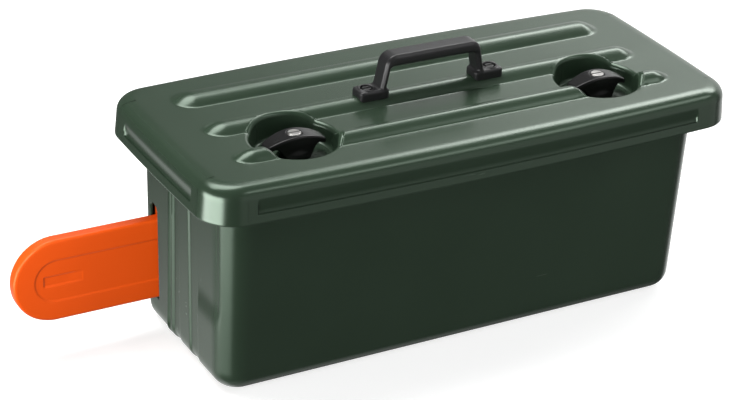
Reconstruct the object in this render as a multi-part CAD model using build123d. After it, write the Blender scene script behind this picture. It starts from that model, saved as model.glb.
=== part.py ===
"""Chainsaw transport box: a deep tub, a hinged lid with a carrying handle, two quarter-turn
latches that close on keepers inside the tub, and a scabbard for the saw's guide bar.

Millimetres. The tub stands on z = 0 and +Z is up. +X runs along the box, away from the
scabbard, and -Y is the front, the side with the latches. The origin is under the lid's centre.
"""
import math
import os

from build123d import *

# ---- lid ----
LID_LENGTH = 640.0
LID_WIDTH = 284.0
LID_SIDE_BOW = 8.0  # how far each long side bulges past its corners
LID_END_BOW = 2.5
LID_CORNER_R = 42.0
LID_EDGE_R = 14.0
LID_TOP_Z = 258.0
LID_WALL = 3.0
SKIRT_BOTTOM_Z = 218.0
SKIRT_DRAFT = 4.0  # degrees, wider at the bottom
BEAD_ROWS = (-71.0, -2.0, 73.0)  # y of each long bead
BEAD_LENGTH = 528.0
BEAD_WIDTH = 35.0
BEAD_HEIGHT = 8.0

# ---- tub ----
TUB_LENGTH = 572.0  # at the floor, outside
TUB_WIDTH = 206.0
TUB_CORNER_R = 28.0
TUB_FLOOR_R = 20.0
TUB_WALL = 3.0
TUB_TAN = 6.0 / 218.0  # how far each wall leans out for each unit of height
SEAT_GAP = 0.1
TUB_TOP_Z = LID_TOP_Z - LID_WALL - SEAT_GAP
RIM_REACH = 8.0
RIM_THICKNESS = 4.0

# ---- handle ----
HANDLE_LENGTH = 176.0
HANDLE_WIDTH = 23.0
HANDLE_Y = BEAD_ROWS[1]  # it stands on the middle bead
HANDLE_TOP_Z = 310.0
GRIP_THICKNESS = 13.0
GRIP_BEND_R = 14.0
GRIP_INNER_R = 5.0
FOOT_THICKNESS = 7.5
FOOT_SADDLE = 3.0  # how far a foot's hollowed underside reaches down the bead's flanks
FOOT_INNER_R = 3.0
LEG_THICKNESS = 8.0
LEG_FOOT_X = 65.5  # outer face of a leg where it meets its foot
LEG_TOP_X = 57.0
HANDLE_SCREW_X = 76.0
HANDLE_EDGE = 2.5
HANDLE_BOSS_R = 11.0
HOLE_PLAY = 0.3

# ---- latches ----
LATCH_X = 186.0
LATCH_Y = -50.0
WELL_R = 47.0
WELL_DEPTH = 20.0
KNOB_LENGTH = 70.0
KNOB_WAIST = 26.0  # width of the grip at its middle
KNOB_END = 17.0
KNOB_DROOP = 10.0
KNOB_END_THICKNESS = 5.0
KNOB_ARCH = (5.0, 11.0)  # a point on the arch under each arm, from the hub's foot
KNOB_HUB_R = 13.0
KNOB_HUB_HEIGHT = 10.0
KNOB_TOP_Z = 264.5
KNOB_GAP = 0.3
BUSH_R = 9.0
BUSH_FLANGE_R = 15.0
BUSH_FLANGE = 2.0
RUNNING_PLAY = 0.05
TONGUE_TOP_Z = 229.0
TONGUE_THICKNESS = 3.0
TONGUE_REACH = 50.0
TONGUE_WIDTH = 18.0
TONGUE_EYE_R = 12.0
TONGUE_NOSE_R = 5.0
KEEPER_WIDTH = 44.0
KEEPER_GAUGE = 2.0
KEEPER_SEAT_Y = -105.5
KEEPER_LIP_Y = -86.0
KEEPER_LOW_Z = 212.0
KEEPER_PITCH = 26.0
KEEPER_SCREW_R = 2.0
KEEPER_HEAD_R = 4.0
KEEPER_HEAD_HEIGHT = 1.6
KEEPER_PAD = 2.0  # how far the thick patch behind a keeper reaches past it

# ---- hinge ----
HINGE_X = 200.0
HINGE_Y = 123.5
HINGE_Z = 225.0
KNUCKLE_R = 6.0
KNUCKLE_WEB = 8.0
TUB_KNUCKLE = 30.0
LID_KNUCKLE = 12.0
KNUCKLE_GAP = 0.5
HINGE_PIN_R = 2.5
PIN_FIT = 0.02
PIN_HEAD_R = 4.0
PIN_HEAD = 1.5
PIN_STICKOUT = 1.0

# ---- scabbard ----
SCABBARD_R = 48.0
SCABBARD_TIP_X = -451.5
SCABBARD_OPEN_X = -262.0
SCABBARD_Y = 66.5
SCABBARD_Z = 84.0
SCABBARD_THICKNESS = 15.0
SCABBARD_WALL = 2.0
SCABBARD_EDGE_R = 3.0
SLOT_WIDTH = 17.0
SLOT_LOW_Z = 35.5
SLOT_TOP_Z = 148.0
COLLAR_X = -282.5
COLLAR_THICKNESS = 4.0
COLLAR_LOW_Z = 28.0
COLLAR_TOP_Z = 154.0
COLLAR_WIDTH = 25.0
CUT_REACH = 20.0  # how far a cutting solid runs past the face that it cuts

# ---- bought hardware: M6 at the handle, M8 through the knobs ----
M6 = {"shank": 3.0, "head": 5.5, "head_height": 2.5, "flats": 10.0, "nut": 5.0, "washer": 9.0}
M8 = {"shank": 4.0, "head": 7.5, "head_height": 2.5, "flats": 13.0, "nut": 6.5, "washer": 9.0}
WASHER_GAUGE = 1.6
THREAD_STICKOUT = 1.5
HEAD_SINK = 2.0  # how far a screw head's seat lies below the face round it
HEAD_EDGE_R = 1.2
DRIVE_DEPTH = 1.2
DRIVE_WIDTH = 1.6

WELL_FLOOR_Z = LID_TOP_Z - WELL_DEPTH
TONGUE_LOW_Z = TONGUE_TOP_Z - TONGUE_THICKNESS
LID_UNDER_Z = LID_TOP_Z - LID_WALL
BEAD_CROWN_Z = LID_TOP_Z + BEAD_HEIGHT
LATCHES = {"left": -LATCH_X, "right": LATCH_X}
HINGES = {"left": -HINGE_X, "right": HINGE_X}


def rod(radius, low, high):
    """Upright cylinder on the Z axis between two heights."""
    return Pos(0, 0, (low + high) / 2) * Cylinder(radius, high - low)


def block(low, high):
    """Box between two opposite corners."""
    middle = [(a + b) / 2 for a, b in zip(low, high)]
    size = [b - a for a, b in zip(low, high)]
    return Pos(*middle) * Box(*size)


def cross_rod(radius, x_low, x_high, y, z):
    """Cylinder that lies along X."""
    middle = (x_low + x_high) / 2
    return Pos(middle, y, z) * Rot(0, 90, 0) * Cylinder(radius, x_high - x_low)


def bowed_outline(inset):
    """The lid's plan: a rounded rectangle whose four sides bulge a little."""
    half_x = LID_LENGTH / 2 - inset
    half_y = LID_WIDTH / 2 - inset
    corner_x = half_x - LID_END_BOW
    corner_y = half_y - LID_SIDE_BOW
    with BuildSketch() as sketch:
        with BuildLine():
            ThreePointArc((-corner_x, -corner_y), (0, -half_y), (corner_x, -corner_y))
            ThreePointArc((corner_x, -corner_y), (half_x, 0), (corner_x, corner_y))
            ThreePointArc((corner_x, corner_y), (0, half_y), (-corner_x, corner_y))
            ThreePointArc((-corner_x, corner_y), (-half_x, 0), (-corner_x, -corner_y))
        make_face()
        fillet(sketch.vertices(), LID_CORNER_R - inset)
    return sketch.sketch


def lid_block(inset, low, high):
    """Solid lid shape, shrunk by inset on every side."""
    solid = extrude(Pos(0, 0, low) * bowed_outline(inset), high - low, taper=SKIRT_DRAFT)
    top_edges = solid.edges().group_by(Axis.Z)[-1]
    return fillet(top_edges, LID_EDGE_R - inset)


def bead(y, inset):
    """Long half-round stiffening bead with round ends, shrunk by inset."""
    half_width = BEAD_WIDTH / 2
    crown_r = (half_width ** 2 + BEAD_HEIGHT ** 2) / (2 * BEAD_HEIGHT)
    centre_z = BEAD_CROWN_Z - crown_r
    end_x = BEAD_LENGTH / 2 - half_width
    barrel = cross_rod(crown_r - inset, -end_x, end_x, y, centre_z)
    for x in (-end_x, end_x):
        barrel += Pos(x, y, centre_z) * Sphere(crown_r - inset)
    reach = LID_LENGTH / 2
    above = block(
        (-reach, y - reach, LID_UNDER_Z - 1.0 + LID_WALL - inset),
        (reach, y + reach, BEAD_CROWN_Z + 1.0),
    )
    return barrel & above


def knuckle(x_low, x_high, web_end_y):
    """Hinge knuckle round the pin, with a web that reaches the wall it is moulded on."""
    barrel = cross_rod(KNUCKLE_R, x_low, x_high, HINGE_Y, HINGE_Z)
    low_y = min(HINGE_Y, web_end_y)
    high_y = max(HINGE_Y, web_end_y)
    half_web = KNUCKLE_WEB / 2
    web = block((x_low, low_y, HINGE_Z - half_web), (x_high, high_y, HINGE_Z + half_web))
    return barrel + web


def make_lid():
    outside = lid_block(0.0, SKIRT_BOTTOM_Z, LID_TOP_Z)
    inside = lid_block(LID_WALL, SKIRT_BOTTOM_Z, LID_UNDER_Z)
    for y in BEAD_ROWS:
        outside += bead(y, 0.0)
        inside += bead(y, LID_WALL)
    shell = outside - inside
    for x in LATCHES.values():
        place = Pos(x, LATCH_Y, 0)
        cup = place * rod(WELL_R + LID_WALL, WELL_FLOOR_Z - LID_WALL, BEAD_CROWN_Z)
        shell += cup & outside
        shell -= place * rod(WELL_R, WELL_FLOOR_Z, BEAD_CROWN_Z + 1.0)
        shell -= place * rod(BUSH_R + RUNNING_PLAY, WELL_FLOOR_Z - LID_WALL, WELL_FLOOR_Z)
    skirt_y = LID_WIDTH / 2 - 5.0
    for x in HINGES.values():
        near = TUB_KNUCKLE / 2 + KNUCKLE_GAP
        far = near + LID_KNUCKLE
        shell += knuckle(x - far, x - near, skirt_y)
        shell += knuckle(x + near, x + far, skirt_y)
        shell -= cross_rod(HINGE_PIN_R + RUNNING_PLAY, x - far, x + far, HINGE_Y, HINGE_Z)
    boss = rod(HANDLE_BOSS_R, LID_UNDER_Z, BEAD_CROWN_Z)
    hole = rod(M6["shank"] + HOLE_PLAY, LID_UNDER_Z, BEAD_CROWN_Z)
    for side in (-1, 1):
        place = Pos(side * HANDLE_SCREW_X, HANDLE_Y, 0)
        shell += (place * boss) & outside
        shell -= place * hole
    return shell


def tub_block(inset, low, high):
    """Solid tub shape, shrunk by inset, with a rounded edge round its floor."""
    plan = RectangleRounded(
        TUB_LENGTH - 2 * inset,
        TUB_WIDTH - 2 * inset,
        TUB_CORNER_R - inset,
    )
    solid = extrude(Pos(0, 0, low) * plan, high - low, taper=-math.degrees(math.atan(TUB_TAN)))
    floor_edges = solid.edges().group_by(Axis.Z)[0]
    return fillet(floor_edges, TUB_FLOOR_R - inset)


def wall_half_width(z):
    """Half of the tub's outside width at a height."""
    return TUB_WIDTH / 2 + TUB_TAN * z


def make_rim():
    """Flange round the tub's mouth that the lid rests on."""
    half_x = TUB_LENGTH / 2 + TUB_TAN * TUB_TOP_Z
    half_y = wall_half_width(TUB_TOP_Z)
    corner = TUB_CORNER_R + TUB_TAN * TUB_TOP_Z
    outer = RectangleRounded(
        2 * (half_x + RIM_REACH),
        2 * (half_y + RIM_REACH),
        corner + RIM_REACH,
    )
    inner = RectangleRounded(2 * half_x - TUB_WALL, 2 * half_y - TUB_WALL, corner - TUB_WALL / 2)
    return extrude(Pos(0, 0, TUB_TOP_Z - RIM_THICKNESS) * (outer - inner), RIM_THICKNESS)


def make_slot():
    """Round-topped opening in the end wall for the scabbard."""
    arch_r = SLOT_WIDTH / 2
    wall_x = -TUB_LENGTH / 2
    low_x = wall_x - CUT_REACH
    high_x = wall_x + CUT_REACH
    arch_z = SLOT_TOP_Z - arch_r
    low = (low_x, SCABBARD_Y - arch_r, SLOT_LOW_Z)
    high = (high_x, SCABBARD_Y + arch_r, arch_z)
    arch = cross_rod(arch_r, low_x, high_x, SCABBARD_Y, arch_z)
    return block(low, high) + arch


def make_tub():
    shell = tub_block(0.0, 0.0, TUB_TOP_Z)
    shell -= tub_block(TUB_WALL, TUB_WALL, TUB_TOP_Z)
    shell += make_rim()
    shell -= make_slot()
    lip_z = TONGUE_TOP_Z + KNOB_GAP + KEEPER_GAUGE
    for x in LATCHES.values():
        half = KEEPER_WIDTH / 2 + KEEPER_PAD
        outer_y = -wall_half_width(KEEPER_LOW_Z) + TUB_WALL / 2
        low = (x - half, outer_y, KEEPER_LOW_Z - KEEPER_PAD)
        shell += block(low, (x + half, KEEPER_SEAT_Y, lip_z + KEEPER_PAD))
        bore = lying_rod(KEEPER_SCREW_R + PIN_FIT, -TUB_WIDTH / 2 - CUT_REACH, KEEPER_SEAT_Y)
        for place in keeper_screw_places(x):
            shell -= place * bore
    for x in HINGES.values():
        half = TUB_KNUCKLE / 2
        shell += knuckle(x - half, x + half, wall_half_width(HINGE_Z) - 1.0)
        shell -= cross_rod(HINGE_PIN_R + PIN_FIT, x - half, x + half, HINGE_Y, HINGE_Z)
    return shell


def lying_rod(radius, y_low, y_high):
    """Cylinder on the Y axis between two places."""
    return Pos(0, (y_low + y_high) / 2, 0) * Rot(90, 0, 0) * Cylinder(radius, y_high - y_low)


def keeper_screw_places(x):
    """Where the two screws of one keeper go."""
    z = (KEEPER_LOW_Z + TONGUE_TOP_Z) / 2
    return [Pos(x + side * KEEPER_PITCH / 2, 0, z) for side in (-1, 1)]


def make_keeper(x):
    """Angle plate on the front wall that a tongue turns under."""
    half = KEEPER_WIDTH / 2
    lip_low = TONGUE_TOP_Z + KNOB_GAP
    lip_top = lip_low + KEEPER_GAUGE
    plate = block(
        (x - half, KEEPER_SEAT_Y, KEEPER_LOW_Z),
        (x + half, KEEPER_SEAT_Y + KEEPER_GAUGE, lip_top),
    )
    lip = block((x - half, KEEPER_SEAT_Y, lip_low), (x + half, KEEPER_LIP_Y, lip_top))
    keeper = plate + lip
    for place in keeper_screw_places(x):
        bore = lying_rod(KEEPER_SCREW_R + PIN_FIT, KEEPER_SEAT_Y, KEEPER_SEAT_Y + KEEPER_GAUGE)
        keeper -= place * bore
    return keeper


def make_keeper_screws():
    """Short pan-head screws driven from inside, one pair to each keeper."""
    head_y = KEEPER_SEAT_Y + KEEPER_GAUGE
    tip_y = -wall_half_width(KEEPER_LOW_Z) + 0.5
    screws = []
    for x in LATCHES.values():
        for place in keeper_screw_places(x):
            shank = lying_rod(KEEPER_SCREW_R, tip_y, head_y)
            head = lying_rod(KEEPER_HEAD_R, head_y, head_y + KEEPER_HEAD_HEIGHT)
            screws.append(place * (shank + head))
    return Compound(children=screws)


def make_hinge_pin(x):
    half = TUB_KNUCKLE / 2 + KNUCKLE_GAP + LID_KNUCKLE
    seat = x + half + KNUCKLE_GAP
    shank = cross_rod(HINGE_PIN_R, x - half - PIN_STICKOUT, seat, HINGE_Y, HINGE_Z)
    head = cross_rod(PIN_HEAD_R, seat, seat + PIN_HEAD, HINGE_Y, HINGE_Z)
    return shank + head


def handle_outline():
    """Side view of the handle: turned-out feet, leaning legs and a straight grip."""
    foot_x = HANDLE_LENGTH / 2
    foot_low = BEAD_CROWN_Z - FOOT_SADDLE
    foot_top = BEAD_CROWN_Z + FOOT_THICKNESS
    grip_low = HANDLE_TOP_Z - GRIP_THICKNESS
    right = [
        (LEG_TOP_X - LEG_THICKNESS, grip_low),
        (LEG_FOOT_X - LEG_THICKNESS, foot_low),
        (foot_x, foot_low),
        (foot_x, foot_top),
        (LEG_FOOT_X, foot_top),
        (LEG_TOP_X, HANDLE_TOP_Z),
    ]
    left = [(-x, z) for x, z in reversed(right)]
    with BuildSketch() as sketch:
        with BuildLine():
            Polyline(*right, *left, close=True)
        make_face()
        corners = sketch.vertices()
        fillet(corners.filter_by(lambda v: v.Y > HANDLE_TOP_Z - 0.1), GRIP_BEND_R)
        corners = sketch.vertices()
        fillet(corners.filter_by(lambda v: abs(v.Y - grip_low) < 0.01), GRIP_INNER_R)
        corners = sketch.vertices().filter_by(lambda v: abs(v.Y - foot_top) < 0.01)
        fillet(corners.filter_by(lambda v: abs(v.X) < foot_x - 1.0), FOOT_INNER_R)
    return Plane.XZ * sketch.sketch


def make_handle():
    handle = extrude(handle_outline(), HANDLE_WIDTH / 2, both=True)
    long_edges = handle.edges().filter_by(
        lambda e: abs(abs(e.center().Y) - HANDLE_WIDTH / 2) < 0.01
        and e.center().Z > BEAD_CROWN_Z
        and abs(e.center().X) < HANDLE_LENGTH / 2 - 0.1
    )
    handle = chamfer(long_edges, HANDLE_EDGE)
    handle -= bead(0.0, 0.0)
    foot_top = BEAD_CROWN_Z + FOOT_THICKNESS
    for side in (-1, 1):
        place = Pos(side * HANDLE_SCREW_X, 0, 0)
        handle -= place * rod(M6["shank"] + HOLE_PLAY, BEAD_CROWN_Z - FOOT_SADDLE, foot_top)
        handle -= place * rod(M6["head"] + 1.0, foot_top - HEAD_SINK, foot_top)
    return Pos(0, HANDLE_Y, 0) * handle


def nut(size, low):
    """Hexagon nut with a plain hole where its thread would be."""
    hexagon = RegularPolygon(size["flats"] / 2, 6, major_radius=False)
    body = extrude(Pos(0, 0, low) * hexagon, size["nut"])
    return body - rod(size["shank"] + PIN_FIT, low, low + size["nut"])


def washer(size, low):
    top = low + WASHER_GAUGE
    return rod(size["washer"], low, top) - rod(size["shank"] + HOLE_PLAY, low, top)


def screw(size, tip, seat):
    """Slotted pan-head screw whose head rests on the seat height."""
    top = seat + size["head_height"]
    head = rod(size["head"], seat, top)
    head = fillet(head.edges().group_by(Axis.Z)[-1], HEAD_EDGE_R)
    slot = Pos(0, 0, top - DRIVE_DEPTH / 2) * Box(3 * size["head"], DRIVE_WIDTH, DRIVE_DEPTH)
    return rod(size["shank"], tip, seat) + (head - slot)


def at_handle_feet(piece):
    places = [Pos(side * HANDLE_SCREW_X, HANDLE_Y, 0) for side in (-1, 1)]
    return Compound(children=[place * piece for place in places])


def knob_grip(low):
    """Arched grip: widest at its middle, and lower and narrower at its two ends."""
    half = KNOB_LENGTH / 2
    end_z = KNOB_TOP_Z - KNOB_DROOP
    under_z = end_z - KNOB_END_THICKNESS
    arch_x = KNOB_HUB_R + KNOB_ARCH[0]
    arch_z = low + KNOB_ARCH[1]
    with BuildSketch() as side_view:
        with BuildLine():
            crown = ThreePointArc((-half, end_z), (0, KNOB_TOP_Z), (half, end_z))
            right = Line(crown @ 1, (half, under_z))
            right_arch = ThreePointArc(right @ 1, (arch_x, arch_z), (KNOB_HUB_R, low))
            base = Line(right_arch @ 1, (-KNOB_HUB_R, low))
            left_arch = ThreePointArc(base @ 1, (-arch_x, arch_z), (-half, under_z))
            Line(left_arch @ 1, crown @ 0)
        make_face()
    waist = KNOB_WAIST / 2
    end = KNOB_END / 2
    plan = Polyline(
        (-half, -end), (0, -waist), (half, -end), (half, end), (0, waist), (-half, end), close=True
    )
    column = extrude(Pos(0, 0, low) * make_face(plan), KNOB_TOP_Z - low + 1.0)
    return extrude(Plane.XZ * side_view.sketch, KNOB_WAIST, both=True) & column


def make_knob(x):
    """Grip on a round hub, with a pocket in its top for the screw's head."""
    low = WELL_FLOOR_Z + KNOB_GAP
    hub = rod(KNOB_HUB_R, low, low + KNOB_HUB_HEIGHT)
    bore = rod(M8["shank"] + HOLE_PLAY, low, KNOB_TOP_Z)
    pocket = rod(M8["head"] + 0.5, KNOB_TOP_Z - HEAD_SINK, KNOB_TOP_Z + 1.0)
    return Pos(x, LATCH_Y, 0) * (knob_grip(low) + hub - bore - pocket)


def make_latch_bush(x):
    """Sleeve between knob and tongue, with a flange that stays under the well's floor."""
    top = WELL_FLOOR_Z + KNOB_GAP
    flange_top = WELL_FLOOR_Z - LID_WALL - KNOB_GAP
    sleeve = rod(BUSH_R, TONGUE_TOP_Z, top)
    flange = rod(BUSH_FLANGE_R, flange_top - BUSH_FLANGE, flange_top)
    bore = rod(M8["shank"] + HOLE_PLAY, TONGUE_TOP_Z, top)
    return Pos(x, LATCH_Y, 0) * (sleeve + flange - bore)


def make_latch_tongue(x):
    """Flat arm that reaches out from the screw and turns under the keeper."""
    half = TONGUE_WIDTH / 2
    eye = rod(TONGUE_EYE_R, TONGUE_LOW_Z, TONGUE_TOP_Z)
    reach = block((0, -half, TONGUE_LOW_Z), (TONGUE_REACH, half, TONGUE_TOP_Z))
    nose = reach.edges().filter_by(Axis.Z).group_by(Axis.X)[-1]
    bore = rod(M8["shank"] + HOLE_PLAY, TONGUE_LOW_Z, TONGUE_TOP_Z)
    return Pos(x, LATCH_Y, 0) * (eye + fillet(nose, TONGUE_NOSE_R) - bore)


def make_latch_hardware(x):
    """Screw, washer and nut that clamp knob, bush and tongue together."""
    place = Pos(x, LATCH_Y, 0)
    washer_low = TONGUE_LOW_Z - WASHER_GAUGE
    nut_low = washer_low - M8["nut"]
    return {
        "screw": place * screw(M8, nut_low - THREAD_STICKOUT, KNOB_TOP_Z - HEAD_SINK),
        "washer": place * washer(M8, washer_low),
        "nut": place * nut(M8, nut_low),
    }


def scabbard_block(inset):
    """Flat blade-shaped solid with a round tip, shrunk by inset."""
    radius = SCABBARD_R - inset
    centre_x = SCABBARD_TIP_X + SCABBARD_R
    outline = Circle(radius) + Pos((SCABBARD_OPEN_X - centre_x) / 2, 0) * Rectangle(
        SCABBARD_OPEN_X - centre_x, 2 * radius
    )
    upright = Plane((centre_x, SCABBARD_Y, SCABBARD_Z), x_dir=(1, 0, 0), z_dir=(0, -1, 0))
    return extrude(upright * outline, SCABBARD_THICKNESS / 2 - inset, both=True)


def make_scabbard():
    """Closed round the tip and open inside the tub, with a collar that stops it sliding out."""
    outside = scabbard_block(0.0)
    long_edges = outside.edges().filter_by(
        lambda e: abs(abs(e.center().Y - SCABBARD_Y) - SCABBARD_THICKNESS / 2) < 0.01
        and e.center().X < SCABBARD_OPEN_X - 1.0
    )
    outside = fillet(long_edges, SCABBARD_EDGE_R)
    collar = block(
        (COLLAR_X, SCABBARD_Y - COLLAR_WIDTH / 2, COLLAR_LOW_Z),
        (COLLAR_X + COLLAR_THICKNESS, SCABBARD_Y + COLLAR_WIDTH / 2, COLLAR_TOP_Z),
    )
    return outside + collar - scabbard_block(SCABBARD_WALL)


def build_nodes():
    foot_seat = BEAD_CROWN_Z + FOOT_THICKNESS - HEAD_SINK
    washer_low = LID_UNDER_Z - WASHER_GAUGE
    nut_low = washer_low - M6["nut"]
    nodes = {
        "tub": make_tub(),
        "lid": make_lid(),
        "handle": make_handle(),
        "handle_screws": at_handle_feet(screw(M6, nut_low - THREAD_STICKOUT, foot_seat)),
        "handle_washers": at_handle_feet(washer(M6, washer_low)),
        "handle_nuts": at_handle_feet(nut(M6, nut_low)),
        "keeper_screws": make_keeper_screws(),
        "scabbard": make_scabbard(),
    }
    for side, x in LATCHES.items():
        nodes[f"knob_{side}"] = make_knob(x)
        nodes[f"latch_bush_{side}"] = make_latch_bush(x)
        nodes[f"latch_tongue_{side}"] = make_latch_tongue(x)
        nodes[f"keeper_{side}"] = make_keeper(x)
        for kind, piece in make_latch_hardware(x).items():
            nodes[f"latch_{kind}_{side}"] = piece
    for side, x in HINGES.items():
        nodes[f"hinge_pin_{side}"] = make_hinge_pin(x)
    return nodes


os.makedirs("parts", exist_ok=True)
for name, shape in build_nodes().items():
    export_step(shape, f"parts/{name}.step")
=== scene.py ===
"""Looks for the chainsaw transport box: moulded lid and tub, carrying handle, two latch
knobs and the orange scabbard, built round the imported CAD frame. Everything is in metres.
"""
import math

import bpy
import numpy as np
from mathutils import Matrix, Vector
from mathutils.geometry import delaunay_2d_cdt


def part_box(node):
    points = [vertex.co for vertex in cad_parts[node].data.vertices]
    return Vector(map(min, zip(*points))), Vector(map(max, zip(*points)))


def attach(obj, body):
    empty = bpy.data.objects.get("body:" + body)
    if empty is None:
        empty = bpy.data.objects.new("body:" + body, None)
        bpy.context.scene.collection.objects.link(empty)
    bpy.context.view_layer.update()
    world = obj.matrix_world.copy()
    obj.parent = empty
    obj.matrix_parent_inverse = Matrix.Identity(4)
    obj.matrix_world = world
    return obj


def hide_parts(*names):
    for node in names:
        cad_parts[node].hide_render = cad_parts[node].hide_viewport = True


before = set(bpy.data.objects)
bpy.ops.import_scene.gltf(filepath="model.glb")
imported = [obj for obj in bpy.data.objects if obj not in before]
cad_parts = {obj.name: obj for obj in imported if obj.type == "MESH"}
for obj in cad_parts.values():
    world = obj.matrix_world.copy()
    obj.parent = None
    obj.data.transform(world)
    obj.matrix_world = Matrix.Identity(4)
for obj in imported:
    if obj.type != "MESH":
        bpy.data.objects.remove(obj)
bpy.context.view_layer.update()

MM = 0.001

# ---- places taken from the frame ----
LID_LOW, LID_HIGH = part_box("lid")
TUB_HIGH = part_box("tub")[1]
HANDLE_LOW, HANDLE_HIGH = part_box("handle")
SCABBARD_LOW, SCABBARD_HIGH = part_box("scabbard")
KNOBS = {side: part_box(f"knob_{side}") for side in ("left", "right")}
PINS = {side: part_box(f"hinge_pin_{side}") for side in ("left", "right")}
KEEPERS = {side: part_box(f"keeper_{side}") for side in ("left", "right")}

# ---- lid ----
BEAD_HEIGHT = 8 * MM
BEADS = ((-71 * MM, 14.5 * MM), (-2 * MM, 17.5 * MM), (74 * MM, 20 * MM))  # y and half width of each
BEAD_HALF_LENGTH = 264 * MM
BEAD_NOSE = 22 * MM  # length of a bead's rounded end
BEAD_CREASE = 0.04  # softness of the line where a bead meets the flat top
LID_TOP = LID_HIGH.z - BEAD_HEIGHT
LID_WALL = 3 * MM
SIDE_BOW = 8 * MM
END_BOW = 2.5 * MM
LID_CORNER = 42 * MM
CROWN_R = 40 * MM  # wide soft turn where the lid's top begins to fall away
CROWN_TURN = math.radians(12)
EDGE_R = 14 * MM
SKIRT_TURN = math.radians(86)
PLATE_GRID = 7  # spacing of the flat top's points, in mm
BEAD_GRID, NOSE_GRID = 5 * MM, 2 * MM  # spacing of points along a bead and at its rounded ends

# ---- shallow panels sunk in the skirt: all but the depth are in mm ----
LEDGE_LOW, LEDGE_TOP = 227.9, 228.2  # heights of the step under the panels
PANEL_FADE = 246.0  # height where a panel has come back to the skirt's face
PANEL_FRONT = (-267, 263)  # ends of the front and back panels along x
PANEL_END = (-83, 79)  # ends of the panels on the short sides along y
PANEL_SOFT = 1.6
PANEL_DEPTH = 2.2 * MM

# ---- wells ----
WELL_R = 45.5 * MM
WELL_FLOOR = LID_TOP - 20 * MM
WELL_LIP = 5 * MM
WELL_COVE = 5 * MM
WELL_DRAFT = 1.5 * MM
WELL_COLUMNS = 180
WELL_COLLARS = (1.2, 2.6, 4.2, 6.2)  # rings of points round a well's lip: distance from it, in mm
WELL_CLEAR = 6.8 * MM  # the flat top's other points keep this far from the lip
BUSH_HOLE = 9.05 * MM
KNOB_Y = (KNOBS["left"][0].y + KNOBS["left"][1].y) / 2
KNOB_XS = [(low.x + high.x) / 2 for low, high in KNOBS.values()]

# ---- hinge ----
KNUCKLE_R = 6 * MM
TUB_KNUCKLE = 30 * MM
LID_KNUCKLE = 12 * MM
KNUCKLE_GAP = 0.5 * MM
PIN_HOLE_R = 2.5 * MM
PIN_STICKOUT = 1 * MM
PIN_HEAD = 2 * MM  # length of a pin's head and the gap under it
WEB_HALF = 4 * MM  # half the thickness of the web between a knuckle and its wall
KNUCKLE_SOFT = 0.7 * MM
KNUCKLE_COLUMNS = 48

# ---- tub ----
TUB_HALF_X = 286 * MM
TUB_HALF_Y = 103 * MM
TUB_CORNER = 28 * MM
TUB_TAN = 6 / 218
TUB_WALL = 3 * MM
FLOOR_R = 20 * MM
RIM_REACH = 8 * MM
RIM_THICK = 4 * MM
RIM_SOFT = 0.7 * MM
ROW_STEP = 5.5 * MM  # spacing of the walls' rows of points
KEEPER_SEAT_Y = KEEPERS["left"][0].y


def smooth(low, high, value):
    """0 below low, 1 above high and a soft turn between them."""
    t = np.clip((value - low) / (high - low), 0, 1)
    return t * t * (3 - 2 * t)


def band(value, low, high, soft):
    """1 between low and high, falling to 0 over soft on either side."""
    return smooth(low - soft, low, value) * (1 - smooth(high, high + soft, value))


def stack_faces(rings, columns, first=0):
    """Quads between closed rings that follow one another."""
    faces = []
    for r in range(rings - 1):
        for c in range(columns):
            n = (c + 1) % columns
            low, high = first + r * columns, first + (r + 1) * columns
            faces.append((low + c, low + n, high + n, high + c))
    return faces


def piece(name, points, faces, material, sharp=40):
    """Smooth-shaded object from points and faces; edges that turn over sharp degrees stay crisp."""
    mesh = bpy.data.meshes.new(name)
    mesh.from_pydata([tuple(p) for p in points], [], [tuple(f) for f in faces])
    mesh.validate()
    obj = bpy.data.objects.new(name, mesh)
    bpy.context.scene.collection.objects.link(obj)
    if material:
        mesh.materials.append(material)
    finish_shading(obj, sharp)
    return obj


def finish_shading(obj, sharp):
    """Smooth shading that leaves edges turning over sharp degrees crisp."""
    obj.data.shade_smooth()
    obj.data.set_sharp_from_angle(angle=math.radians(sharp))


def combine(obj, tool, operation):
    """Applies a boolean of tool to obj and removes tool."""
    modifier = obj.modifiers.new("combine", "BOOLEAN")
    modifier.operation = operation
    modifier.object = tool
    modifier.solver = "EXACT"
    depsgraph = bpy.context.evaluated_depsgraph_get()
    mesh = bpy.data.meshes.new_from_object(obj.evaluated_get(depsgraph))
    obj.modifiers.clear()
    obj.data = mesh
    bpy.data.objects.remove(tool)


# ======================= materials =======================
CLOUD_SCALE = 9.0  # colour and gloss
SCUFF_SCALE = (14.0, 260.0, 260.0)  # stretched along x
PORE_SCALE, PORE_DEPTH = 1400.0, 0.0002
GLOSS_SPREAD = 0.02  # how far the roughness strays either way


def add_node(tree, kind, **values):
    """New node; a value goes to the input of that name, or else to the node's own setting."""
    node = tree.nodes.new(kind)
    for key, value in values.items():
        if key in node.inputs.keys():
            node.inputs[key].default_value = value
        else:
            setattr(node, key, value)
    return node


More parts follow.
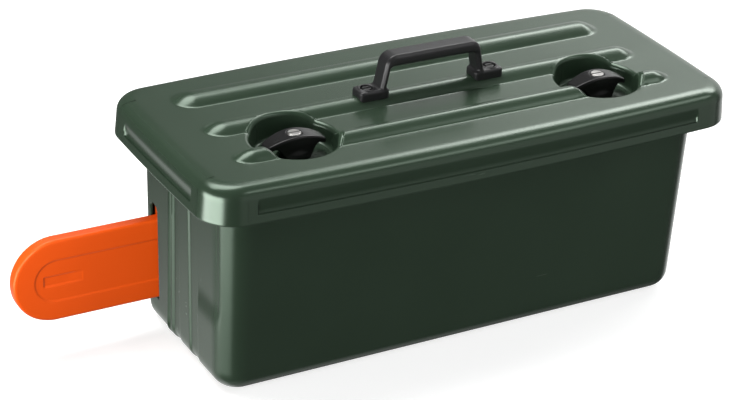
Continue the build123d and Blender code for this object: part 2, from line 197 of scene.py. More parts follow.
def plastic(name, colour, rough, grain, mottle=0.03, sheen=(1, 1, 1), specular=0.5):
    """Moulded plastic: a fine grain, cloudy colour, uneven gloss and faint scuffs."""
    material = bpy.data.materials.new(name)
    material.use_nodes = True
    tree = material.node_tree
    link = tree.links.new
    shader = tree.nodes["Principled BSDF"]
    place = add_node(tree, "ShaderNodeTexCoord")
    cloud = add_node(tree, "ShaderNodeTexNoise", Scale=CLOUD_SCALE, Detail=4.0)
    link(place.outputs["Object"], cloud.inputs["Vector"])
    tint = add_node(tree, "ShaderNodeValToRGB")
    dark = [c * (1 - mottle) for c in colour]
    light = [min(1, c * (1 + mottle)) for c in colour]
    tint.color_ramp.elements[0].color = (*dark, 1)
    tint.color_ramp.elements[0].position = 0.3
    tint.color_ramp.elements[1].color = (*light, 1)
    tint.color_ramp.elements[1].position = 0.7
    link(cloud.outputs["Fac"], tint.inputs["Fac"])
    link(tint.outputs["Color"], shader.inputs["Base Color"])
    shader.inputs["Specular Tint"].default_value = (*sheen, 1)
    shader.inputs["Specular IOR Level"].default_value = specular
    add_gloss(tree, place, cloud, rough)
    add_grain(tree, place, grain)
    return material


def add_gloss(tree, place, cloud, rough):
    """Roughness that follows the cloudy colour, with long faint scuffs on top."""
    link = tree.links.new
    shader = tree.nodes["Principled BSDF"]
    scuff_place = add_node(tree, "ShaderNodeMapping", Scale=SCUFF_SCALE)
    link(place.outputs["Object"], scuff_place.inputs["Vector"])
    scuff = add_node(tree, "ShaderNodeTexNoise", Scale=1.0, Detail=3.0)
    link(scuff_place.outputs["Vector"], scuff.inputs["Vector"])
    scuff_amount = add_node(
        tree, "ShaderNodeMapRange", **{"From Min": 0.62, "From Max": 0.8, "To Min": 0.0, "To Max": 0.03}
    )
    link(scuff.outputs["Fac"], scuff_amount.inputs["Value"])
    low, high = rough - GLOSS_SPREAD, rough + GLOSS_SPREAD
    gloss = add_node(
        tree, "ShaderNodeMapRange", **{"From Min": 0.3, "From Max": 0.7, "To Min": low, "To Max": high}
    )
    link(cloud.outputs["Fac"], gloss.inputs["Value"])
    total = add_node(tree, "ShaderNodeMath", operation="ADD")
    link(gloss.outputs["Result"], total.inputs[0])
    link(scuff_amount.outputs["Result"], total.inputs[1])
    link(total.outputs["Value"], shader.inputs["Roughness"])


def add_grain(tree, place, grain):
    """Fine pores of the mould's surface."""
    link = tree.links.new
    pores = add_node(tree, "ShaderNodeTexNoise", Scale=PORE_SCALE, Detail=2.0)
    link(place.outputs["Object"], pores.inputs["Vector"])
    bump = add_node(tree, "ShaderNodeBump", Strength=grain, Distance=PORE_DEPTH)
    link(pores.outputs["Fac"], bump.inputs["Height"])
    link(bump.outputs["Normal"], tree.nodes["Principled BSDF"].inputs["Normal"])


def metal(name, colour, rough):
    """Plated or blackened steel with a fine grain and a cloudy surface."""
    material = plastic(name, colour, rough, 0.15, 0.1)
    material.node_tree.nodes["Principled BSDF"].inputs["Metallic"].default_value = 1.0
    return material


GREEN = plastic("green_plastic", (0.022, 0.0385, 0.0235), 0.24, 0.05, sheen=(0.8, 1, 0.83))
GREY = plastic("grey_plastic", (0.012, 0.012, 0.0125), 0.38, 0.25, specular=0.3)
BLACK = plastic("black_plastic", (0.008, 0.008, 0.008), 0.25, 0.10, specular=0.2)
ORANGE = plastic("orange_plastic", (0.47, 0.050, 0.0025), 0.42, 0.12, sheen=(1, 0.5, 0.3))
ZINC = metal("zinc_steel", (0.27, 0.265, 0.255), 0.34)
BLACK_STEEL = metal("black_steel", (0.03, 0.03, 0.03), 0.3)


# ======================= lid =======================
def circles_meet(a, radius_a, b, radius_b):
    """Where two circles cross, on the right of the line from a to b."""
    a, b = np.array(a), np.array(b)
    gap = np.linalg.norm(b - a)
    unit = (b - a) / gap
    along = (radius_a ** 2 - radius_b ** 2 + gap ** 2) / (2 * gap)
    away = math.sqrt(radius_a ** 2 - along ** 2)
    found = [a + along * unit + s * away * np.array((unit[1], -unit[0])) for s in (1, -1)]
    return max(found, key=lambda p: p[0] - p[1])


class LidPlan:
    """The lid's plan at its foot: four bowed sides joined by round corners."""

    half_x = LID_HIGH.x
    half_y = LID_HIGH.y
    chord_x = half_x - END_BOW
    chord_y = half_y - SIDE_BOW
    side_r = (chord_x ** 2 + SIDE_BOW ** 2) / (2 * SIDE_BOW)
    end_r = (chord_y ** 2 + END_BOW ** 2) / (2 * END_BOW)
    side_centre = np.array((0.0, side_r - half_y))
    end_centre = np.array((half_x - end_r, 0.0))
    corner = circles_meet(side_centre, side_r - LID_CORNER, end_centre, end_r - LID_CORNER)


def lid_quadrant():
    """Points and outward normals from the middle of the front to the middle of the right end."""
    p = LidPlan
    side_turn = math.atan2(*(p.corner - p.side_centre)[::-1])
    end_turn = math.atan2(*(p.corner - p.end_centre)[::-1])
    side_x = np.concatenate([np.arange(0, 252, 6), np.arange(252, 277, 0.8), [279]]) * MM
    side_angles = -math.pi / 2 + np.arcsin(side_x / p.side_r)
    corner_angles = np.linspace(side_turn, end_turn, 22)
    end_y = np.concatenate([[97], np.arange(94, 70, -0.8), np.arange(70, -1, -5)]) * MM
    end_angles = -np.arcsin(end_y / p.end_r)
    points, normals = [], []
    for centre, radius, angles in (
        (p.side_centre, p.side_r, side_angles),
        (p.corner, LID_CORNER, corner_angles),
        (p.end_centre, p.end_r, end_angles),
    ):
        normal = np.stack([np.cos(angles), np.sin(angles)], axis=1)
        points.append(centre + radius * normal)
        normals.append(normal)
    return np.concatenate(points), np.concatenate(normals)


def mirrored_loop(points, normals):
    """Whole closed loop from one front-right quarter."""
    parts = []
    for values in (points, normals):
        back = values[::-1] * (1, -1)
        half = np.concatenate([values, back[1:]])
        other = half[::-1] * (-1, 1)
        parts.append(np.concatenate([half, other[1:-1]]))
    return parts


def lid_inset(x, y):
    """How far inside the lid's foot outline a point of the plan is."""
    p = LidPlan
    spot = np.stack([np.abs(x), -np.abs(y)], axis=-1)
    side = p.side_r - np.linalg.norm(spot - p.side_centre, axis=-1)
    end = p.end_r - np.linalg.norm(spot - p.end_centre, axis=-1)
    corner = LID_CORNER - np.linalg.norm(spot - p.corner, axis=-1)
    in_corner = (spot[..., 0] > p.corner[0]) & (spot[..., 1] < p.corner[1])
    return np.where(in_corner, corner, np.minimum(side, end))


def lid_section():
    """(inset, z, turn) from the edge of the flat top down to the foot; turn 0 faces up."""
    skirt_tan = math.tan(math.pi / 2 - SKIRT_TURN)
    edge_drop = EDGE_R * (math.cos(CROWN_TURN) - math.cos(SKIRT_TURN))
    skirt_top = LID_TOP - CROWN_R * (1 - math.cos(CROWN_TURN)) - edge_drop
    skirt_inset = (skirt_top - LID_LOW.z) * skirt_tan
    edge_inset = skirt_inset + EDGE_R * (math.sin(SKIRT_TURN) - math.sin(CROWN_TURN))
    plate_inset = edge_inset + CROWN_R * math.sin(CROWN_TURN)
    section = []
    for turn in np.linspace(0, CROWN_TURN, 6)[:-1]:
        z = LID_TOP - CROWN_R * (1 - math.cos(turn))
        section.append((plate_inset - CROWN_R * math.sin(turn), z, turn))
    for turn in np.linspace(CROWN_TURN, SKIRT_TURN, 15):
        z = skirt_top + EDGE_R * (math.cos(turn) - math.cos(SKIRT_TURN))
        inset = skirt_inset + EDGE_R * (math.sin(SKIRT_TURN) - math.sin(turn))
        section.append((inset, z, turn))
    down = np.concatenate(
        [np.arange(242, 236, -1.5), np.arange(236, 228.5, -1), (LEDGE_TOP, LEDGE_LOW), (226, 223, 220)]
    )
    for z in down * MM:
        section.append(((z - LID_LOW.z) * skirt_tan, z, SKIRT_TURN))
    return section


PLATE_INSET = lid_section()[0][0]


def plate_height(x, y):
    """Height of the lid's top outside the wells: flat, with three long half-round beads."""
    lift = np.zeros_like(x)
    beyond = np.maximum(np.abs(x) - (BEAD_HALF_LENGTH - BEAD_NOSE), 0) / BEAD_NOSE
    for row, half_width in BEADS:
        full = 1 - ((y - row) / half_width) ** 2 - beyond ** 2
        lift += BEAD_HEIGHT * (full + np.sqrt(full ** 2 + BEAD_CREASE ** 2)) / 2
    return LID_TOP + lift


def skirt_relief(x, y, normal, z):
    """How far the skirt's shallow panels lie behind its face."""
    z = z / MM
    front = np.abs(normal[..., 1]) > 0.7
    panel = smooth(LEDGE_LOW, LEDGE_TOP, z) * (1 - smooth(LEDGE_TOP + 2, PANEL_FADE, z))
    along_front = band(x / MM, *PANEL_FRONT, PANEL_SOFT)
    along_end = band(y / MM, *PANEL_END, PANEL_SOFT)
    return PANEL_DEPTH * panel * np.where(front, along_front, along_end)


def well_section(lip, wall_r, cove, hole):
    """(radius, share, rise) from the lip to the bush's hole. A share of 0 counts the rise from
    the lip's foot, and a share of 1 counts it from the top of the cove round the floor.
    """
    section = []
    for turn in np.radians(np.linspace(0, 88, 8)):
        section.append((wall_r + lip * (1 - math.sin(turn)), 0.0, lip * math.cos(turn)))
    low_r = wall_r - WELL_DRAFT
    for share in (0.3, 0.65):
        section.append((wall_r - WELL_DRAFT * share, share, 0.0))
    for turn in np.radians(np.linspace(88, 0, 7)):
        section.append((low_r - cove * (1 - math.sin(turn)), 1.0, -cove * math.cos(turn)))
    for radius in (low_r - cove - 6 * MM, 24 * MM, 14 * MM, hole):
        section.append((radius, 1.0, -cove))
    return section


def well_rings(x0, section, lip, cove_top, drop):
    """Points of one well, ring by ring. The lip follows the beads that the well cuts through."""
    angle = np.linspace(0, 2 * math.pi, WELL_COLUMNS, endpoint=False)
    across, along = np.cos(angle), np.sin(angle)
    lip_r = section[0][0]
    lip_foot = plate_height(x0 + lip_r * across, KNOB_Y + lip_r * along) - drop - lip
    rings = []
    for radius, share, rise in section:
        z = lip_foot * (1 - share) + cove_top * share + rise
        rings.append(np.stack([x0 + radius * across, KNOB_Y + radius * along, z], axis=1))
    return rings


def plate_points(edge, rims):
    """Plan points that carry the shape of the lid's top between its edge and the wells."""
    cloud = []
    straight = BEAD_HALF_LENGTH - BEAD_NOSE
    ends = np.arange(0, BEAD_NOSE + BEAD_GRID, NOSE_GRID) + straight
    middle = np.arange(-straight + BEAD_GRID, straight - 4 * MM, BEAD_GRID)
    along = np.concatenate([-ends[::-1], middle, ends])
    across = np.linspace(-1.2, 1.2, 27)  # in a bead's half widths
    x, y = np.meshgrid(np.arange(-300, 301, PLATE_GRID) * MM, np.arange(-126, 127, PLATE_GRID) * MM)
    clear = np.full(x.shape, True)
    for row, half_width in BEADS:
        bead_x, bead_y = np.meshgrid(along, row + across * half_width)
        cloud.append(np.stack([bead_x.ravel(), bead_y.ravel()], axis=1))
        clear &= (np.abs(y - row) > 1.35 * half_width) | (np.abs(x) > BEAD_HALF_LENGTH + 9 * MM)
    cloud.append(np.stack([x[clear], y[clear]], axis=1))
    cloud = np.concatenate(cloud)
    keep = lid_inset(cloud[:, 0], cloud[:, 1]) > PLATE_INSET + 3 * MM
    for x0 in KNOB_XS:
        gap = np.hypot(cloud[:, 0] - x0, cloud[:, 1] - KNOB_Y)
        keep &= gap > WELL_R + WELL_LIP + WELL_CLEAR
    cloud = cloud[keep]
    angle = np.linspace(0, 2 * math.pi, WELL_COLUMNS, endpoint=False)
    collars = []
    for x0 in KNOB_XS:
        for radius in np.array(WELL_COLLARS) * MM + WELL_R + WELL_LIP:
            collars.append(
                np.stack([x0 + radius * np.cos(angle), KNOB_Y + radius * np.sin(angle)], axis=1)
            )
    return np.concatenate([edge, *rims, *collars, cloud])


def plate_triangles(plan, rim_r):
    """Triangles between the plan points, none of them over a well."""
    _, _, triangles, origins, _, _ = delaunay_2d_cdt([Vector(p) for p in plan], [], [], 0, 1e-7)
    source = [o[0] for o in origins]
    kept = []
    for triangle in triangles:
        a, b, c = (source[i] for i in triangle)
        middle = (plan[a] + plan[b] + plan[c]) / 3
        if all(math.hypot(middle[0] - x0, middle[1] - KNOB_Y) > rim_r for x0 in KNOB_XS):
            turn = np.cross(plan[b] - plan[a], plan[c] - plan[a])
            kept.append((a, b, c) if turn > 0 else (a, c, b))
    return kept


def edge_rings(plan, normal):
    """Rings of the lid's edge and skirt: down the outside, round the foot and up the inside."""
    columns = len(plan)
    outer, inner = [], []
    for inset, z, turn in lid_section():
        ring = plan - normal * inset
        depth = skirt_relief(plan[:, 0], plan[:, 1], normal, np.full(columns, z))
        ring = ring - normal * depth[:, None]
        outer.append(np.column_stack([ring, np.full(columns, z)]))
        inner_ring = plan - normal * (inset + LID_WALL * math.sin(turn))
        inner.append(np.column_stack([inner_ring, np.full(columns, z - LID_WALL * math.cos(turn))]))
    foot = []
    for inset, z in ((0.0, 0.7), (0.25, 0.2), (0.8, 0.0), (2.2, 0.0), (2.75, 0.2), (3.0, 0.7)):
        ring = plan - normal * inset * MM
        foot.append(np.column_stack([ring, np.full(columns, LID_LOW.z + z * MM)]))
    return outer + foot + inner[::-1]


def well_shells(first):
    """Points and faces of both wells' two skins, and the number of each skin's first point."""
    points, faces, starts, holes = [], [], [], []
    count = first
    for depth in (0.0, LID_WALL):
        lip, cove = WELL_LIP - depth, WELL_COVE + depth
        wall = well_section(lip, WELL_R + depth, cove, BUSH_HOLE)
        cove_top = WELL_FLOOR - depth + cove
        for x0 in KNOB_XS:
            well = well_rings(x0, wall, lip, cove_top, depth)
            points.append(np.concatenate(well))
            made = stack_faces(len(well), WELL_COLUMNS, count)
            faces += made if depth == 0 else [f[::-1] for f in made]
            starts.append(count)
            holes.append(count + (len(well) - 1) * WELL_COLUMNS)
            count += len(well) * WELL_COLUMNS
    for left, right in ((holes[0], holes[2]), (holes[1], holes[3])):
        for c in range(WELL_COLUMNS):
            n = (c + 1) % WELL_COLUMNS
            faces.append((left + c, left + n, right + n, right + c))
    return np.concatenate(points), faces, starts


def plate_plan(plan, normal, rim_r):
    """Plan points and triangles of the lid's flat top: its edge, the wells' rims, then the rest."""
    edge = plan - normal * PLATE_INSET
    angle = np.linspace(0, 2 * math.pi, WELL_COLUMNS, endpoint=False)
    circle = np.stack([np.cos(angle), np.sin(angle)], axis=1) * rim_r
    rims = [circle + (x0, KNOB_Y) for x0 in KNOB_XS]
    flat = plate_points(edge, rims)
    return flat, plate_triangles(flat, rim_r - 0.05 * MM)


def lid_mesh():
    """Points and faces of the lid's shell, outside and inside skins joined at the foot and holes."""
    plan, normal = mirrored_loop(*lid_quadrant())
    columns = len(plan)
    rings = edge_rings(plan, normal)
    points = [np.concatenate(rings)]
    faces = [f[::-1] for f in stack_faces(len(rings), columns)]
    wells, well_faces, starts = well_shells(len(rings) * columns)
    points.append(wells)
    faces += well_faces
    count = len(rings) * columns + len(wells)
    flat, triangles = plate_plan(plan, normal, WELL_R + WELL_LIP)
    shared = columns + 2 * WELL_COLUMNS
    free = flat[shared:]
    for skin in (0, 1):
        first_edge = skin * (len(rings) - 1) * columns
        z = plate_height(free[:, 0], free[:, 1]) - skin * LID_WALL
        points.append(np.column_stack([free, z]))
        number = np.concatenate([
            first_edge + np.arange(columns),
            starts[skin * 2] + np.arange(WELL_COLUMNS),
            starts[skin * 2 + 1] + np.arange(WELL_COLUMNS),
            count + np.arange(len(free)),
        ])
        count += len(free)
        for triangle in triangles:
            face = [int(number[i]) for i in triangle]
            faces.append(face if skin == 0 else face[::-1])
    return np.concatenate(points), faces


def knuckle(x_low, x_high, wall_y):
    """Points and faces of a hinge knuckle: a barrel round the pin and a web to the wall at wall_y."""
    y, z = (PINS["left"][0] + PINS["left"][1]).yz / 2
    reach = wall_y - y
    columns, soft = KNUCKLE_COLUMNS, KNUCKLE_SOFT
    # The small offset keeps every angle off the axes, where a division below would fail.
    angle = np.linspace(0, 2 * math.pi, columns, endpoint=False) + 0.01
    across, up = np.cos(angle), np.sin(angle)
    to_wall = np.where(across * reach > 0, np.abs(reach / across), 0)
    outer = np.maximum(KNUCKLE_R, np.minimum(to_wall, np.abs(WEB_HALF / up)))
    rings = []
    for x, radius in (
        (x_low, np.full(columns, PIN_HOLE_R)),
        (x_low, outer - soft),
        (x_low + soft, outer),
        (x_high - soft, outer),
        (x_high, outer - soft),
        (x_high, np.full(columns, PIN_HOLE_R)),
    ):
        rings.append(np.stack([np.full(columns, x), y + radius * across, z + radius * up], axis=1))
    rings.append(rings[0])
    return np.concatenate(rings), stack_faces(len(rings), columns)


def with_knuckles(points, faces, spans, wall_y):
    """Adds knuckles to a shell. spans are their ends along x, counted from the middle of a hinge."""
    points = list(points)
    for low, high in PINS.values():
        middle = (low.x + PIN_STICKOUT + high.x - PIN_HEAD) / 2
        for start, end in spans:
            more_points, more_faces = knuckle(middle + start, middle + end, wall_y)
            faces = faces + [tuple(np.array(f) + len(points)) for f in more_faces]
            points += list(more_points)
    return points, faces


def make_lid():
    """Lid shell with its wells and its two pairs of knuckles."""
    points, faces = lid_mesh()
    near = TUB_KNUCKLE / 2 + KNUCKLE_GAP
    far = near + LID_KNUCKLE
    points, faces = with_knuckles(points, faces, ((-far, -near), (near, far)), LID_HIGH.y - 4 * MM)
    lid = piece("lid_shell", points, faces, GREEN, sharp=50)
    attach(lid, "lid")
    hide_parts("lid")


# ======================= tub =======================
def tub_quadrant():
    """Points and outward normals of the tub's plan, from mid front to mid right end."""
    side_x = np.append(np.arange(0, 256, 8) * MM, TUB_HALF_X - TUB_CORNER)
    end_y = np.append(np.arange(75, 0, -1.25), 0.0) * MM
    corner_x, corner_y = TUB_HALF_X - TUB_CORNER, TUB_CORNER - TUB_HALF_Y
    points = [(x, -TUB_HALF_Y) for x in side_x]
    normals = [(0.0, -1.0)] * len(side_x)
    for turn in np.linspace(-math.pi / 2, 0, 18)[1:-1]:
        n = (math.cos(turn), math.sin(turn))
        points.append((corner_x + TUB_CORNER * n[0], corner_y + TUB_CORNER * n[1]))
        normals.append(n)
    points += [(TUB_HALF_X, -y) for y in end_y]
    normals += [(1.0, 0.0)] * len(end_y)
    return np.array(points), np.array(normals)


RIB_A, RIB_B = 26, 18.5  # y of the two ribs of an end wall, in mm, where they don't lean
# What an end wall carries, in mm: how far it stands out (below 0, in), its two edges along y
# and the softness of its edges.
END_BANDS = (
    (1.5, RIB_A - 1.2, RIB_A + 1.2, 1.4),
    (1.0, RIB_B - 0.8, RIB_B + 0.8, 1.4),
    (-1.0, RIB_B + 2.2, RIB_A - 2.6, 1.2),
    (-1.3, 6.0, RIB_B - 3.0, 2.6),
    (-1.6, -39.0, -23.0, 2.6),
)
FLUTE = END_BANDS[-1]
HOLLOW = (-1.6, -84.0, -41.0, 3.5)  # wide hollow in the wall's upper part, beside the flute
HOLLOW_FOOT = (74, 104)  # heights between which the hollow fades in


def rib_lean(y, z):
    """How far the ribs, and the wall's points beside them, lean sideways at a height."""
    lean = np.clip((155 - z / MM) / 115, -0.6, 1.4)
    return lean * np.interp(y / MM, (8, RIB_B, RIB_A, 42), (0, 4.5, 7, 0)) * MM


def end_relief(y, z):
    """How far the moulded ribs and flutes of an end wall stand out (or in, below 0), at a height."""
    y, z = y / MM, z / MM
    relief = sum(height * band(y, *edges) for height, *edges in END_BANDS)
    height, *edges = HOLLOW
    relief += height * smooth(*HOLLOW_FOOT, z) * band(y, *edges) * (1 - band(y, *FLUTE[1:]))
    return relief * MM


def tub_section():
    """(outset from the floor outline, z) up the outside, over the rim and down the inside."""
    outside = [(-27 * MM, 0.0), (-24 * MM, 0.0)]
    for turn in np.radians(np.linspace(0, 88, 11)):
        outside.append((-FLOOR_R * (1 - math.sin(turn)), FLOOR_R * (1 - math.cos(turn))))
    rim_low = TUB_HIGH.z - RIM_THICK
    outside += [(0.0, z) for z in np.arange(24 * MM, rim_low - 2 * MM, ROW_STEP)]
    outside += [(0.0, rim_low)]
    top, soft = TUB_HIGH.z, RIM_SOFT
    rim = [
        (RIM_REACH - soft, rim_low),
        (RIM_REACH, rim_low + soft),
        (RIM_REACH, top - soft),
        (RIM_REACH - soft, top),
        (-TUB_WALL + soft, top),
        (-TUB_WALL, top - soft),
    ]
    inside = [(-TUB_WALL, z) for z in np.arange(rim_low, 26 * MM, -ROW_STEP)]
    inner_r = FLOOR_R - TUB_WALL
    for turn in np.radians(np.linspace(88, 0, 9)):
        out = -TUB_WALL - inner_r * (1 - math.sin(turn))
        inside.append((out, TUB_WALL + inner_r * (1 - math.cos(turn))))
    inside += [(-24 * MM, TUB_WALL), (-27 * MM, TUB_WALL)]
    return outside + rim + inside


SLOT_HALF, SLOT_LOW, SLOT_TOP = 8.5 * MM, 35.5 * MM, 148 * MM
SLOT_FLARE = 1.3 * MM
SLOT_REACH = 14 * MM  # how far the cutter reaches past the wall's face, both ways


def slot_cutter():
    """Round-topped prism for the scabbard's slot, flared where it meets the wall's face."""
    centre = (SCABBARD_LOW.y + SCABBARD_HIGH.y) / 2
    loops = []
    for out, grow in ((-SLOT_REACH, SLOT_FLARE), (0.0, SLOT_FLARE), (1.4 * MM, 0.0), (SLOT_REACH, 0.0)):
        loop = []
        r = SLOT_HALF + grow
        for turn in np.radians(np.linspace(0, 180, 19)):
            loop.append((centre + r * math.cos(turn), SLOT_TOP - SLOT_HALF + r * math.sin(turn)))
        loop += [(centre - r, SLOT_LOW - grow), (centre + r, SLOT_LOW - grow)]
        loops.append([(-TUB_HALF_X - TUB_TAN * z + out, y, z) for y, z in loop])
    columns = len(loops[0])
    faces = stack_faces(len(loops), columns)
    faces.append(tuple(range(columns))[::-1])
    faces.append(tuple(range((len(loops) - 1) * columns, len(loops) * columns)))
    return piece("slot_cutter", np.concatenate(loops), faces, None)


SEAT_HALF = 26 * MM
SEAT_BELOW, SEAT_ABOVE = 3 * MM, 4 * MM  # how far a keeper's seat reaches past the keeper


def on_seat(ring, z):
    """Which points of an inside ring lie on the thickened patches behind the keepers."""
    found = np.zeros(len(ring), bool)
    for low, high in KEEPERS.values():
        found |= (np.abs(ring[:, 0] - (low.x + high.x) / 2) < SEAT_HALF) & (ring[:, 1] < KEEPER_SEAT_Y)
    return found & (low.z - SEAT_BELOW < z < high.z + SEAT_ABOVE)


RELIEF_TOP = (238 * MM, 249 * MM)  # heights between which an end wall's relief fades out
RELIEF_FOOT = (-26 * MM, -20 * MM)  # outsets on the floor's turn between which it fades in


def make_tub():
    """Tub shell with its rim, end-wall ribs, knuckles and the slot for the scabbard."""
    plan, normal = mirrored_loop(*tub_quadrant())
    columns = len(plan)
    section = tub_section()
    rings = []
    facing = smooth(0.5, 0.95, np.abs(normal[:, 0]))
    for out, z in section:
        fade = (1 - smooth(*RELIEF_TOP, z)) * smooth(*RELIEF_FOOT, out)
        relief = end_relief(plan[:, 1], z) * facing * fade
        ring = plan + normal * (out + TUB_TAN * z + relief)[:, None]
        ring[:, 1] += rib_lean(plan[:, 1], z)
        if out == -TUB_WALL:
            ring = np.where(on_seat(ring, z)[:, None], (1, 0) * ring + (0, KEEPER_SEAT_Y), ring)
        rings.append(np.column_stack([ring, np.full(columns, z)]))
    faces = stack_faces(len(rings), columns)
    faces.append(tuple(range(columns))[::-1])
    faces.append(tuple(range((len(rings) - 1) * columns, len(rings) * columns)))
    half = TUB_KNUCKLE / 2
    wall_y = TUB_HALF_Y + TUB_TAN * PINS["left"][0].z - 1 * MM
    points, faces = with_knuckles(np.concatenate(rings), faces, ((-half, half),), wall_y)
    tub = piece("tub_shell", points, faces, GREEN)
    combine(tub, slot_cutter(), "DIFFERENCE")
    finish_shading(tub, 45)
    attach(tub, "tub")
    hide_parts("tub")


# ======================= smooth solids from distance fields =======================
def contour(field, low, high, cell):
    """Mesh of the surface where field is zero: one point in each cell that the surface crosses."""
    low = np.array(low, float)
    sizes = np.ceil((np.array(high) - low) / cell).astype(int) + 1
    axes = [low[a] + cell * np.arange(sizes[a]) for a in range(3)]
    value = field(np.stack(np.meshgrid(*axes, indexing="ij"), axis=-1))
    total = np.zeros((*(sizes - 1), 3))
    hits = np.zeros(sizes - 1)
    crossings = []
    for a in range(3):
        b, c = (a + 1) % 3, (a + 2) % 3
        before = [slice(None)] * 3
        after = [slice(None)] * 3
        before[a], after[a] = slice(0, -1), slice(1, None)
        v0, v1 = value[tuple(before)], value[tuple(after)]
        cut = (v0 < 0) != (v1 < 0)
        index = np.argwhere(cut)
        point = low + cell * index
        point[:, a] += cell * v0[cut] / (v0[cut] - v1[cut])
        corners = []
        for db, dc in ((0, 0), (1, 0), (1, 1), (0, 1)):
            where = index.copy()
            where[:, b] -= db
            where[:, c] -= dc
            where = tuple(where.T)
            np.add.at(total, where, point)
            np.add.at(hits, where, 1)
            corners.append(where)
        crossings.append((corners, v0[cut] < 0))
    used = hits > 0
    number = np.full(used.shape, -1)
    number[used] = np.arange(used.sum())
    points = total[used] / hits[used][:, None]
    faces = []
    for corners, leaving in crossings:
        quads = np.stack([number[where] for where in corners], axis=1)
        quads[~leaving] = quads[~leaving][:, ::-1]
        faces.append(quads)
    for _ in range(3):
        points = pull_to_surface(field, points)
    return points, np.concatenate(faces)


def pull_to_surface(field, points):
    """One Newton step of each point towards the zero of the field."""
    step = 0.02 * MM
    here = field(points)
    slope = np.stack([(field(points + step * axis) - here) / step for axis in np.eye(3)], axis=-1)
    size = np.maximum(np.sum(slope ** 2, axis=-1), 0.25)
    move = -slope * (here / size)[:, None]
    length = np.linalg.norm(move, axis=-1, keepdims=True)
    return points + move * np.minimum(1, 0.3 * MM / np.maximum(length, 1e-9))


def join(a, b, blend):
    """Soft union of two fields."""
    mix = np.clip(0.5 + 0.5 * (b - a) / blend, 0, 1)
    return b + (a - b) * mix - blend * mix * (1 - mix)


def meet(a, b, blend):
    """Soft intersection of two fields."""
    return -join(-a, -b, blend)


def bevelled(a, b, size, blend):
    """Intersection whose edge is cut by a flat bevel."""
    flat = (a + b + size) * math.sqrt(0.5)
    return meet(meet(a, b, blend), flat, blend)


def polygon_field(x, z, corners, radius=0.0):
    """Distance to a polygon, rounded outwards by radius."""
    best = np.full(x.shape, 1e9)
    inside = np.zeros(x.shape, bool)
    for (x1, z1), (x2, z2) in zip(corners, corners[1:] + corners[:1]):
        ex, ez = x2 - x1, z2 - z1
        t = np.clip(((x - x1) * ex + (z - z1) * ez) / (ex * ex + ez * ez), 0, 1)
        best = np.minimum(best, np.hypot(x - x1 - t * ex, z - z1 - t * ez))
        crosses = (z1 > z) != (z2 > z)
        with np.errstate(divide="ignore", invalid="ignore"):
            inside ^= crosses & (x < (x2 - x1) * (z - z1) / (z2 - z1) + x1)
    return np.where(inside, -best, best) - radius


# ======================= handle =======================
HANDLE_Y = (HANDLE_LOW.y + HANDLE_HIGH.y) / 2
HANDLE_HALF = (HANDLE_HIGH.y - HANDLE_LOW.y) / 2
FOOT_TOP = LID_HIGH.z + 7.5 * MM
GRIP_LOW = HANDLE_HIGH.z - 13 * MM
HANDLE_SCREW_X = 76 * MM
LEG_FOOT_X = 66 * MM  # outer face of a leg at the handle's foot
LEG_THICK = 7.6 * MM
LEG_LEAN = 0.2  # how far a leg leans in for each unit of rise
ARCH_R, OPENING_R = 13 * MM, 5 * MM
ARCH_BEVEL = 3.2 * MM
FOOT_START_X = 53 * MM
FOOT_R = 4.5 * MM
FOOT_BEVEL = 1.8 * MM
COLLAR_R, COLLAR_TUBE = 8.1 * MM, 1.1 * MM  # raised ring round a screw
RECESS_R, RECESS_DEPTH = 6.6 * MM, 2 * MM  # pocket for a screw's head


def shrunk(corners, by):
    """Convex polygon, listed anticlockwise, with each side moved inwards."""
    out = []
    count = len(corners)
    lines = []
    for (x1, z1), (x2, z2) in zip(corners, corners[1:] + corners[:1]):
        length = math.hypot(x2 - x1, z2 - z1)
        nx, nz = (z1 - z2) / length, (x2 - x1) / length
        lines.append((nx, nz, nx * x1 + nz * z1 + by))
    for i in range(count):
        (a, b, e), (c, d, f) = lines[i - 1], lines[i]
        det = a * d - b * c
        out.append(((e * d - b * f) / det, (a * f - e * c) / det))
    return out


def arch_outline(x, z):
    """Field of the arch seen from the front: two leaning legs and the grip over an opening."""
    low, high = HANDLE_LOW.z, HANDLE_HIGH.z
    top_x = LEG_FOOT_X - (high - low) * LEG_LEAN
    outer = [(-LEG_FOOT_X, low), (LEG_FOOT_X, low), (top_x, high), (-top_x, high)]
    outer_field = polygon_field(x, z, shrunk(outer, ARCH_R), ARCH_R)
    outer_field = np.where(z < GRIP_LOW - 9 * MM, polygon_field(x, z, outer), outer_field)
    leg_x = LEG_FOOT_X - LEG_THICK
    grip_x = leg_x - (GRIP_LOW - low) * LEG_LEAN
    below = low - 20 * MM
    opening = [(-leg_x, below), (leg_x, below), (leg_x, low), (grip_x, GRIP_LOW)]
    opening += [(-grip_x, GRIP_LOW), (-leg_x, low)]
    opening_field = polygon_field(x, z, shrunk(opening, OPENING_R), OPENING_R)
    return meet(outer_field, -opening_field, 0.5 * MM)


def foot_field(x, y, z, from_screw):
    """Turned-out foot with a raised ring round its screw."""
    middle = (FOOT_START_X + HANDLE_HIGH.x) / 2
    half = (HANDLE_HIGH.x - FOOT_START_X) / 2
    qx = np.abs(x - middle) - half + FOOT_R
    qy = np.abs(y) - HANDLE_HALF + FOOT_R
    plan = np.hypot(np.maximum(qx, 0), np.maximum(qy, 0)) + np.minimum(np.maximum(qx, qy), 0) - FOOT_R
    foot = bevelled(plan, z - FOOT_TOP, FOOT_BEVEL, 0.8 * MM)
    collar = np.hypot(from_screw - COLLAR_R, z - FOOT_TOP) - COLLAR_TUBE
    return join(foot, collar, 0.6 * MM)


